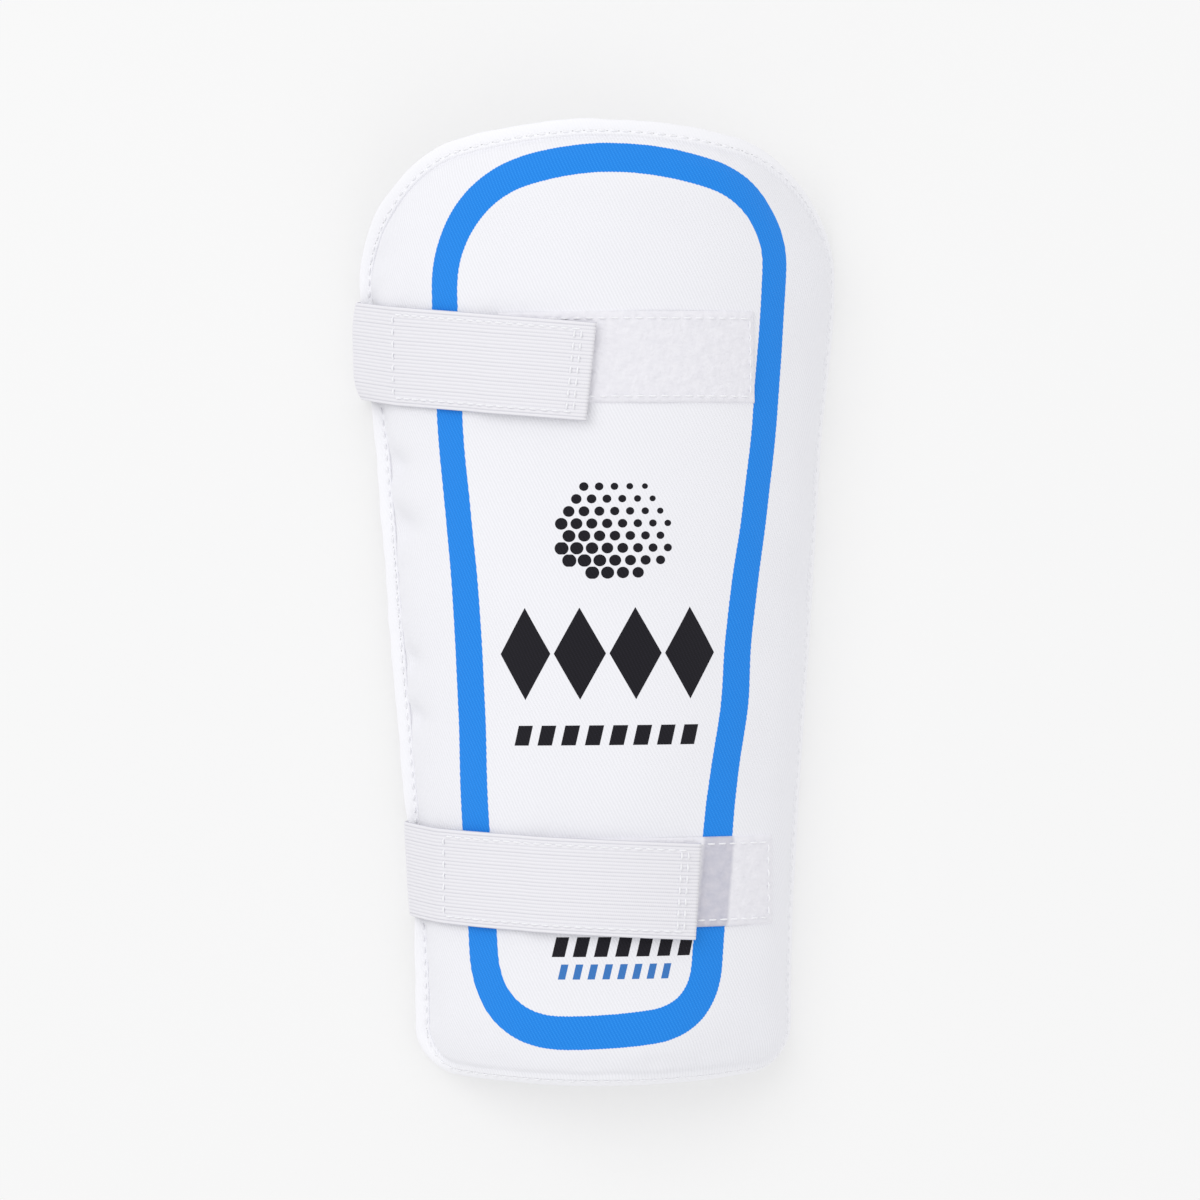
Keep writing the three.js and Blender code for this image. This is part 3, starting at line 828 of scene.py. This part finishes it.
strap_surfaces = {name: make_strap(name) for name in STRAPS}

# %% [markdown]
# Under each strap's end lies a strip of hook tape, and on the cover a patch of loop pile. The
# patch is a brushed, slightly translucent fabric, so where the lower one covers the printed
# line, the line shows through as a grey band. It takes the same distance mark as the cover.

# %% Hook tapes and loop patches
PATCH_ASPECT = 2.6
PATCH_EDGE = 0.06
FUZZ = 0.07 * MM
PATCH_WANDER = 0.05 * MM


def tape_x(strap, start, end, rows, sides):
    """x over a tape, at even shares across from its start to its end, for each side."""
    x = across_x(np.linspace(start, end, rows), strap["y"])
    return x[:, None] + 0 * sides


def edge_round(rows, columns):
    """1 in the middle of a patch, falling as a quarter circle within a share of its edges."""
    u, v = (np.minimum(t, t[::-1]) for t in (np.linspace(0, 1, rows), np.linspace(0, 1, columns)))
    near = np.minimum(np.minimum(u[:, None] * PATCH_ASPECT, v) / PATCH_EDGE, 1)
    return np.sqrt(1 - (1 - near) ** 2)


def make_hook_tape(name):
    strap = STRAPS[name]
    tip = strap["tip"] - HOOK_END_INSET / seam_half(strap["y"])
    sides = np.linspace(1, -1, 25)
    x = tape_x(strap, tip, strap["hook_start"], 60, sides)
    y = strap_y(strap, arc_run(x, strap["y"]), sides, HOOK_INSET)
    lift = hook_lift(strap, x)
    upper = cover(x, y, lift + HOOK_THICKNESS)
    obj = layer_object(f"{name}_hook_tape_cloth", cover(x, y, lift), upper, {})
    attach(obj, "root")
    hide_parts(f"{name}_hook_tape")


def make_loop_patch(name):
    strap = STRAPS[name]
    rows, columns = 210, 90
    sides = np.linspace(0.5, -0.5, columns)
    x = tape_x(strap, strap["patch_end"], strap["patch_start"], rows, sides)
    y = strap["patch_y"] + sides * PATCH_WIDTH + 0 * x
    fuzz = FUZZ * uneven(x, y, 71, 40, 0.9 * MM, 2.6 * MM)
    wander = PATCH_WANDER * uneven(x, y, 73, 12, 6 * MM, 20 * MM)
    upper = cover(x, y, PRESSED_GAP + edge_round(rows, columns) * (PATCH_THICKNESS + fuzz + wander))
    lower = cover(x, y, PRESSED_GAP / 2)
    marks = {"frame_reach": frame_reach(cover(x, y)), "cloth": cloth_plan(x, y)}
    obj = layer_object(f"{name}_loop_patch_pile", lower, upper, marks)
    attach(obj, "root")
    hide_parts(f"{name}_loop_patch")
    print(name, "patch faces:", len(obj.data.polygons))
    return upper


patch_tops = {}
for strap_name in STRAPS:
    make_hook_tape(strap_name)
    patch_tops[strap_name] = make_loop_patch(strap_name)

# %% [markdown]
# Stitches are small but they make the guard look sewn. Each is a short thread that rises out of
# the cloth and dives back, drawn as a six sided tube of five rings. One function places as many
# as fit along any line, so the rim, the straps and the patches share it.

# %% Stitches along a line
STITCH_RINGS = 5
STITCH_PITCH = 3.3 * MM
STITCH_SIDES = 6


def stitch_rows(lines, pitch, length, radius):
    """lines: list of (points, normals). Ring k of a stitch lies at t from -1 to 1 along it,
    raised by radius * (1 - 1.9 t^2), with a thread radius that closes towards its ends."""
    t = np.linspace(-1, 1, STITCH_RINGS)
    turn = np.arange(STITCH_SIDES) * 2 * math.pi / STITCH_SIDES
    parts = []
    for points, normals in lines:
        run = run_along(points)
        count = max(int(run[-1] / pitch), 1)
        centres = (np.arange(count) + 0.5) * run[-1] / count
        at = centres[:, None] + t * length / 2
        spot = sample(points, run, at)
        up = unit(sample(normals, run, at))
        forward = unit(np.gradient(spot, axis=1))
        beside = unit(np.cross(forward, up))
        spot = spot + up * (radius * (1 - 1.9 * t**2))[:, None]
        thick = radius * np.sqrt(1.06 - t**2)
        ring = beside[:, :, None] * np.cos(turn)[:, None] + up[:, :, None] * np.sin(turn)[:, None]
        parts.append(spot[:, :, None] + ring * thick[:, None, None])
    return np.concatenate(parts)


def stitch_object(name, lines, pitch, length, radius):
    threads = stitch_rows(lines, pitch, length, radius)
    count = len(threads)
    per = STITCH_RINGS * STITCH_SIDES
    index = np.arange(count * per).reshape(count, STITCH_RINGS, STITCH_SIDES)
    beside = np.roll(index, -1, 2)
    quads = np.stack([index[:, :-1], index[:, 1:], beside[:, 1:], beside[:, :-1]], -1)
    caps = [index[:, 0, [0, 1, 2, 3]], index[:, 0, [0, 3, 4, 5]]]
    tails = [index[:, -1, [3, 2, 1, 0]], index[:, -1, [5, 4, 3, 0]]]
    faces = np.concatenate([quads.reshape(-1, 4)] + caps + tails)
    obj = new_object(name, threads, faces)
    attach(obj, "root")
    print(name, count)


# %% The rim's stitches


def rim_line(height, outward):
    """The closed line of the rim's stitches and its normals, up or down by outward's sign."""
    points = rim_points(rim, STITCH_SHARE, height)
    other = rim_points(rim, STITCH_SHARE, height + outward * MM)
    return [np.concatenate([line, line[:1]]) for line in (points, unit(other - points))]


stitch_object(
    "rim_stitches",
    [rim_line(hem_height(STITCH_SHARE), 1), rim_line(-LAYER_GAP / 2 - 0.9 * LINING, -1)],
    pitch=STITCH_PITCH, length=2.7 * MM, radius=0.34 * MM,
)
STITCH_COUNT = int(run_along(rim_line(0.0, 1)[0])[-1] / STITCH_PITCH)
print("stitches on either side of the rim:", STITCH_COUNT)

# %% The straps' and patches' stitches
STRAP_STITCH_INSET = 2.1 * MM
STRAP_END_INSETS = (3.6 * MM, 5.0 * MM)
STRAP_TURN_SHARE = -0.9
STRAP_STITCH_LIFT = 0.08 * MM
PATCH_STITCH_INSET = 2.2 * MM
PATCH_END_INSET = 1.8 * MM


def strap_stitch_lines(name):
    """A row within each long edge from the tip to the turn, two rows over the tip and one over
    the turn, and a small box where the strap's other end is sewn to the lining."""
    strap = STRAPS[name]
    surface = strap_surfaces[name]
    top, away, run, side = (surface[key] for key in ("top", "away", "run", "side"))
    turn_run = front_run(strap, strap["tip"]) - front_run(strap, STRAP_TURN_SHARE)
    first, second, last = np.searchsorted(run, [*STRAP_END_INSETS, turn_run])
    inset = 1 - 2 * STRAP_STITCH_INSET / strap["width"]
    low, high = np.searchsorted(side, [-inset, inset])
    over = slice(low, high + 1)
    sewn = len(run) - 12
    front_rows = slice(first, last)
    sewn_rows = slice(sewn, sewn + 10)
    places = [
        (front_rows, low), (front_rows, high), (first, over), (second, over), (last, over),
        (sewn + 9, over), (sewn, over), (sewn_rows, low), (sewn_rows, high),
    ]
    return [(top[place] + away[place] * STRAP_STITCH_LIFT, away[place]) for place in places]


def patch_stitch_lines(name):
    top = patch_tops[name]
    rows, columns = top.shape[:2]
    normals = unit(np.cross(np.gradient(top, axis=1), np.gradient(top, axis=0)))
    normals *= np.sign(normals[..., 2:3])
    up = int(PATCH_STITCH_INSET / PATCH_WIDTH * columns)
    along = round(PATCH_END_INSET / np.linalg.norm(top[0, 0] - top[-1, 0]) * rows)
    run = slice(along, rows - 2)
    places = [(run, up), (run, columns - 1 - up), (along, slice(up, columns - up))]
    return [(top[place], normals[place]) for place in places]


for strap_name in STRAPS:
    stitch_object(
        f"{strap_name}_strap_stitches", strap_stitch_lines(strap_name),
        pitch=3.1 * MM, length=2.6 * MM, radius=0.3 * MM,
    )
    stitch_object(
        f"{strap_name}_patch_stitches", patch_stitch_lines(strap_name),
        pitch=3.4 * MM, length=2.9 * MM, radius=0.28 * MM,
    )

# %% [markdown]
# Now the finishes. All are built from nodes, and all read either the cloth laid flat or the
# object's own coordinates, so that nothing slides when the camera moves. A number that runs
# through a node tree is wrapped as a wire. Arithmetic on wires adds the math nodes for it, so
# each pattern below reads like its formula.

# %% Node helpers


def add_node(tree, kind, inputs, output=0, **settings):
    """A new node, its inputs linked to wires or set to values. Gives one output as a wire."""
    node = tree.nodes.new(kind)
    for key, value in settings.items():
        setattr(node, key, value)
    for key, value in inputs.items():
        join(tree, node.inputs[key], value)
    return Wire(tree, node.outputs[output])


def join(tree, socket, value):
    if isinstance(value, Wire):
        tree.links.new(value.socket, socket)
    else:
        socket.default_value = value


class Wire:
    """A number in a node tree, on which arithmetic adds math nodes."""

    def __init__(self, tree, socket):
        self.tree = tree
        self.socket = socket

    def put(self, operation, *others):
        inputs = dict(enumerate((self, *others)))
        return add_node(self.tree, "ShaderNodeMath", inputs, operation=operation)

    __add__ = partialmethod(put, "ADD")
    __sub__ = partialmethod(put, "SUBTRACT")
    __mul__ = partialmethod(put, "MULTIPLY")
    __truediv__ = partialmethod(put, "DIVIDE")
    __mod__ = partialmethod(put, "FLOORED_MODULO")
    __lt__ = partialmethod(put, "LESS_THAN")
    __abs__ = partialmethod(put, "ABSOLUTE")

    def wave(self, period=1.0):
        """A sine that repeats over each period."""
        return (self * (2 * math.pi / period)).put("SINE")

    def ramp(self, low, high, start=0.0, end=1.0):
        """From start to end while the wire goes from low to high, and level beyond them."""
        inputs = {"Value": self, "From Min": low, "From Max": high, "To Min": start, "To Max": end}
        return add_node(self.tree, "ShaderNodeMapRange", inputs)


class Finish:
    """A material whose patterns lie over the flat cloth or over the object's own space."""

    def __init__(self, name, roughness, sheen=0.0, over_cloth=False):
        self.material = bpy.data.materials.new(name)
        self.material.use_nodes = True
        self.tree = self.material.node_tree
        self.set({"Roughness": roughness, "Sheen Weight": sheen, "Specular IOR Level": 0.3})
        if over_cloth:
            self.place = self.mark("cloth", "Vector")
        else:
            self.place = add_node(self.tree, "ShaderNodeTexCoord", {}, "Object")

    def set(self, values):
        for key, value in values.items():
            join(self.tree, self.tree.nodes["Principled BSDF"].inputs[key], value)

    def mark(self, name, output="Fac"):
        return add_node(self.tree, "ShaderNodeAttribute", {}, output, attribute_name=name)

    def plan(self):
        """The place's x and y."""
        kind = "ShaderNodeSeparateXYZ"
        return [add_node(self.tree, kind, {0: self.place}, output) for output in (0, 1)]

    def noise(self, scale, detail=2.0, roughness=0.5):
        inputs = {"Vector": self.place, "Scale": scale, "Detail": detail, "Roughness": roughness}
        return add_node(self.tree, "ShaderNodeTexNoise", inputs, "Fac")

    def blend(self, share, first, second, mode="MIX"):
        """A mix of two colours, each a wire or a triple on the 0 to 255 screen scale."""
        first, second = (linear(c) if isinstance(c, tuple) else c for c in (first, second))
        inputs = {0: share, 6: first, 7: second}
        return add_node(self.tree, "ShaderNodeMix", inputs, 2, data_type="RGBA", blend_type=mode)

    def done(self, color, height, depth, strength=1.0):
        """The material with its colour, and with bumps of a depth where the height is 1."""
        inputs = {"Height": height, "Distance": depth, "Strength": strength}
        self.set({"Base Color": color, "Normal": add_node(self.tree, "ShaderNodeBump", inputs)})
        return self.material


def linear(color):
    """A colour on the 0 to 255 screen scale as linear light."""
    c = np.array(color) / 255
    light = np.where(c <= 0.04045, c / 12.92, ((c + 0.055) / 1.055) ** 2.4)
    return (*light.tolist(), 1.0)


# %% [markdown]
# Twill shows fine diagonal wales, here 0.8 mm apart and rising steeply from lower right to
# upper left. They run over the cloth as it was cut, so they read the flat cloth mark.
# The print sits in the yarn: its edge is slightly ragged along the wales, and single yarns stay
# a little lighter inside the blue.

# %% Twill and its print
WALE_PITCH = 0.82 * MM
WALE_ANGLE = math.radians(65)
BEAD_PITCH = 0.5 * MM
ROW_SHARE = 0.866
DIAMOND_SHARE = 0.47
DASH_SLANT = 0.22

# The printed figures, with places and sizes over the flat cloth in millimetres
DISC = {"centre": (3.0, 21.0), "radius": 14.8, "pitch": 3.9}
DIAMONDS = {"centre": (0.9, -13.0), "size": (57.0, 27.0), "count": 4}
DASHES = {"centre": (0.4, -35.5), "size": (49.0, 5.5), "count": 8, "filled": 0.62}
LOW_DASHES = {"centre": (4.3, -94.0), "size": (37.5, 5.5), "count": 7, "filled": 0.62}
BLUE_DASHES = {"centre": (2.0, -100.9), "size": (30.0, 4.2), "count": 8, "filled": 0.5}


def twill(finish):
    """Wales, and beads of yarn along them, from 0 to 1: sines over the distance across the
    wales, which noise bends a little, and over the distance along them."""
    x, y = finish.plan()
    rise = math.sin(WALE_ANGLE)
    run = math.cos(WALE_ANGLE)
    wale = x * (rise / WALE_PITCH) + y * (run / WALE_PITCH) + finish.noise(130.0) * 0.9
    bead = y * (rise / BEAD_PITCH) - x * (run / BEAD_PITCH)
    return wale.wave() * 0.5 + 0.5, bead.wave() * 0.5 + 0.5


def about(finish, centre):
    x, y = finish.plan()
    return x - centre[0] * MM, y - centre[1] * MM


def inside(x, y, size):
    """1 where x and y lie within a box of the size about zero."""
    return (abs(x) < size[0] / 2 * MM) * (abs(y) < size[1] / 2 * MM)


def dot_disc(finish, centre, radius, pitch):
    """Round dots on a staggered grid within a disc, growing towards its lower left. All is
    measured in pitches, and the rows stand half the root of three apart."""
    x, y = about(finish, centre)
    u = x / (pitch * MM)
    v = y / (pitch * ROW_SHARE * MM)
    cell_u = (u + v.put("FLOOR") % 2 * 0.5) % 1 - 0.5
    cell_v = (v % 1 - 0.5) * ROW_SHARE
    dot_u = u - cell_u
    dot_v = v * ROW_SHARE - cell_v
    reach = radius / pitch
    size = (dot_u + dot_v).ramp(-1.3 * reach, 1.3 * reach, 0.47, 0.2)
    dot = (cell_u * cell_u + cell_v * cell_v).put("SQRT") < size
    return dot * (dot_u * dot_u + dot_v * dot_v < reach**2)


def diamonds(finish, centre, size, count):
    """A row of diamonds: the shares of the pitch and of the height that a place is away from
    the middle of its diamond add up to less than a limit."""
    x, y = about(finish, centre)
    place = (x * (count / size[0] / MM) + count / 2) % 1
    away = abs(place - 0.5) + abs(y) / (size[1] * MM)
    return (away < DIAMOND_SHARE) * inside(x, y, size)


def dashes(finish, centre, size, count, filled):
    """A row of slanting dashes, each filling a share of its place."""
    x, y = about(finish, centre)
    x = x - y * DASH_SLANT
    place = (x * (count / size[0] / MM) + (count - 1 + filled) / 2) % 1
    return (place < filled) * inside(x, y, size)


def cover_twill():
    finish = Finish("cover_twill", roughness=0.82, sheen=0.12, over_cloth=True)
    wale, beads = twill(finish)
    reach = finish.mark("frame_reach") + wale * (0.1 * MM) + finish.noise(900.0) * (0.2 * MM)
    edge = FRAME_LINE_HALF + 0.15 * MM
    in_line = reach.ramp(edge + 0.07 * MM, edge - 0.07 * MM)
    hem_share = finish.mark("hem_share")
    hem = hem_share.ramp(0.0, 0.2)
    white = finish.blend(finish.noise(22.0, 3.0), (243, 243, 248), (247, 247, 252))
    # Painted highlight: the hem is painted lighter than the rest of the cover, where the rim faces
    # the light.
    white = finish.blend(hem, white, (249, 249, 253))
    blue = finish.blend(wale * beads, (18, 134, 236), (46, 150, 243))
    color = finish.blend(in_line, white, blue)
    black = dot_disc(finish, **DISC).put("MAXIMUM", diamonds(finish, **DIAMONDS))
    for row in (DASHES, LOW_DASHES):
        black = black.put("MAXIMUM", dashes(finish, **row))
    ink = finish.blend(wale * beads, (12, 10, 20), (28, 25, 36))
    color = finish.blend(black, color, ink)
    color = finish.blend(dashes(finish, **BLUE_DASHES), color, (60, 122, 196))
    # Painted shade: the cloth is darkened at each stitch hole along the rim's stitching, where
    # shade falls into the holes.
    apart = finish.mark("rim_phase").wave(2 / STITCH_COUNT)
    beside = (hem_share - STITCH_SHARE) / GROOVE_SHARE
    hole_shade = (apart * apart + beside * beside).ramp(0.02, 0.16, 0.62, 1.0)
    # The wales darken the hem less than the face, which is part of the hem's painted highlight.
    shade = wale.ramp(0.0, 1.0, hem * 0.05 + 0.935, 1.0) * hole_shade
    color = finish.blend(1.0, color, shade, "MULTIPLY")
    return finish.done(color, beads * 0.3 + wale, 0.07 * MM, hem * -0.5 + 0.7)


# %% Elastic, pile, hooks, lining and thread


def elastic():
    finish = Finish("elastic", roughness=0.7, sheen=0.1, over_cloth=True)
    x, y = finish.plan()
    knit = x.wave(0.6 * MM) * y.wave(1.9 * MM)
    # Painted shade: the elastic is painted darker in the grooves between its ribs, and darkest in
    # the selvedge grooves, where the rib mark is low.
    color = finish.blend(finish.mark("rib").ramp(-0.5, 0.8), (196, 195, 205), (238, 237, 242))
    return finish.done(color, knit * 0.35 + finish.noise(2600.0), 0.05 * MM, 0.8)


def loop_pile():
    finish = Finish("loop_pile", roughness=0.95, sheen=0.35, over_cloth=True)
    curls = finish.noise(1500.0, 3.0, 0.65)
    tufts = finish.noise(420.0)
    base = finish.blend(tufts, (230, 229, 236), (246, 245, 250))
    through_line = finish.blend(tufts, (192, 193, 208), (222, 219, 227))
    reach = finish.mark("frame_reach")
    over_line = reach.ramp(FRAME_LINE_HALF + 0.5 * MM, FRAME_LINE_HALF - 0.5 * MM)
    color = finish.blend(over_line, base, through_line)
    return finish.done(color, tufts * 0.8 + curls, 0.22 * MM, 0.8)


def hook_tape():
    finish = Finish("hook_tape", roughness=0.5)
    x, y = finish.plan()
    hooks = x.wave(1.1 * MM) * y.wave(1.1 * MM)
    color = finish.blend(hooks.ramp(-1.0, 1.0), (214, 214, 218), (236, 236, 240))
    return finish.done(color, hooks, 0.25 * MM)


def lining_cloth():
    finish = Finish("lining_cloth", roughness=0.9, sheen=0.1, over_cloth=True)
    x, y = finish.plan()
    weave = x.wave(0.9 * MM) * y.wave(0.9 * MM)
    color = finish.blend(finish.noise(60.0, 3.0), (232, 232, 237), (240, 240, 244))
    return finish.done(color, finish.noise(1500.0) * 0.6 + weave, 0.06 * MM, 0.8)


def thread():
    finish = Finish("white_thread", roughness=0.45, sheen=0.1)
    twist = finish.noise(2400.0, 1.0)
    color = finish.blend(twist, (240, 240, 245), (253, 253, 255))
    return finish.done(color, twist, 0.05 * MM)


finishes = {
    "pad_cloth": cover_twill(),
    "lining_cloth": lining_cloth(),
    "elastic": elastic(),
    "tape_cloth": hook_tape(),
    "pile": loop_pile(),
    "stitches": thread(),
}
for obj in bpy.data.objects:
    for ending, finish in finishes.items():
        if obj.name.endswith(ending):
            obj.data.materials.append(finish)
            print(obj.name, "wears", finish.name)

# %% [markdown]
# The guard lies on a plain pale table under a broad soft light from the upper left, with a
# bright surround that fills the shadows. The camera hangs straight above, turned by half a
# degree, far enough away that the arched front is barely enlarged.

# %% Floor, light and camera
CAMERA_HEIGHT = 1.6
FRAME_HEIGHT_AT_FRONT = 0.3294
FRONT_Z = 0.042
CAMERA_ROLL = math.radians(-0.53)
CAMERA_SHIFT_Y = 1.4 * MM
FLOOR_REACH = 5.0
FLOOR_GLOW = 0.428
SURROUND = {"Color": (1, 1, 1, 1), "Strength": 0.78}


def make_floor():
    mesh = bpy.data.meshes.new("floor")
    reach = FLOOR_REACH
    corners = [(-reach, -reach, 0), (reach, -reach, 0), (reach, reach, 0), (-reach, reach, 0)]
    mesh.from_pydata(corners, [], [(0, 1, 2, 3)])
    finish = Finish("pale_floor", roughness=0.9)
    finish.set({"Base Color": (0.5, 0.5, 0.5, 1), "Specular IOR Level": 0})
    finish.set({"Emission Color": (1, 1, 1, 1), "Emission Strength": FLOOR_GLOW})
    mesh.materials.append(finish.material)
    floor = add_object("floor", mesh)


def soft_light(name, place, size, power):
    """A round light that faces the origin."""
    data = bpy.data.lights.new(name, "AREA")
    data.shape = "DISK"
    data.size = size
    data.energy = power
    light = add_object(name, data)
    light.location = place
    aim = np.array(place) * -1
    flat = math.hypot(aim[0], aim[1])
    light.rotation_euler = (math.atan2(flat, -aim[2]), 0, math.atan2(aim[1], aim[0]) - math.pi / 2)


make_floor()
soft_light("window_light", (-1.2, 1.0, 1.9), size=2.0, power=16)
soft_light("fill_light", (1.4, -0.6, 1.9), size=2.0, power=5)
world = bpy.data.worlds.new("surround")
bpy.context.scene.world = world
world.use_nodes = True
for key, value in SURROUND.items():
    world.node_tree.nodes["Background"].inputs[key].default_value = value

camera_data = bpy.data.cameras.new("camera")
camera_data.angle = 2 * math.atan(FRAME_HEIGHT_AT_FRONT / 2 / (CAMERA_HEIGHT - FRONT_Z))
camera = add_object("camera", camera_data)
camera.location = (CENTRE_X, CAMERA_SHIFT_Y, CAMERA_HEIGHT)
camera.rotation_euler = (0, 0, CAMERA_ROLL)
bpy.context.scene.camera = camera
bpy.context.scene.view_settings.view_transform = "Standard"
print(f"lens angle {math.degrees(camera_data.angle):.2f} degrees")
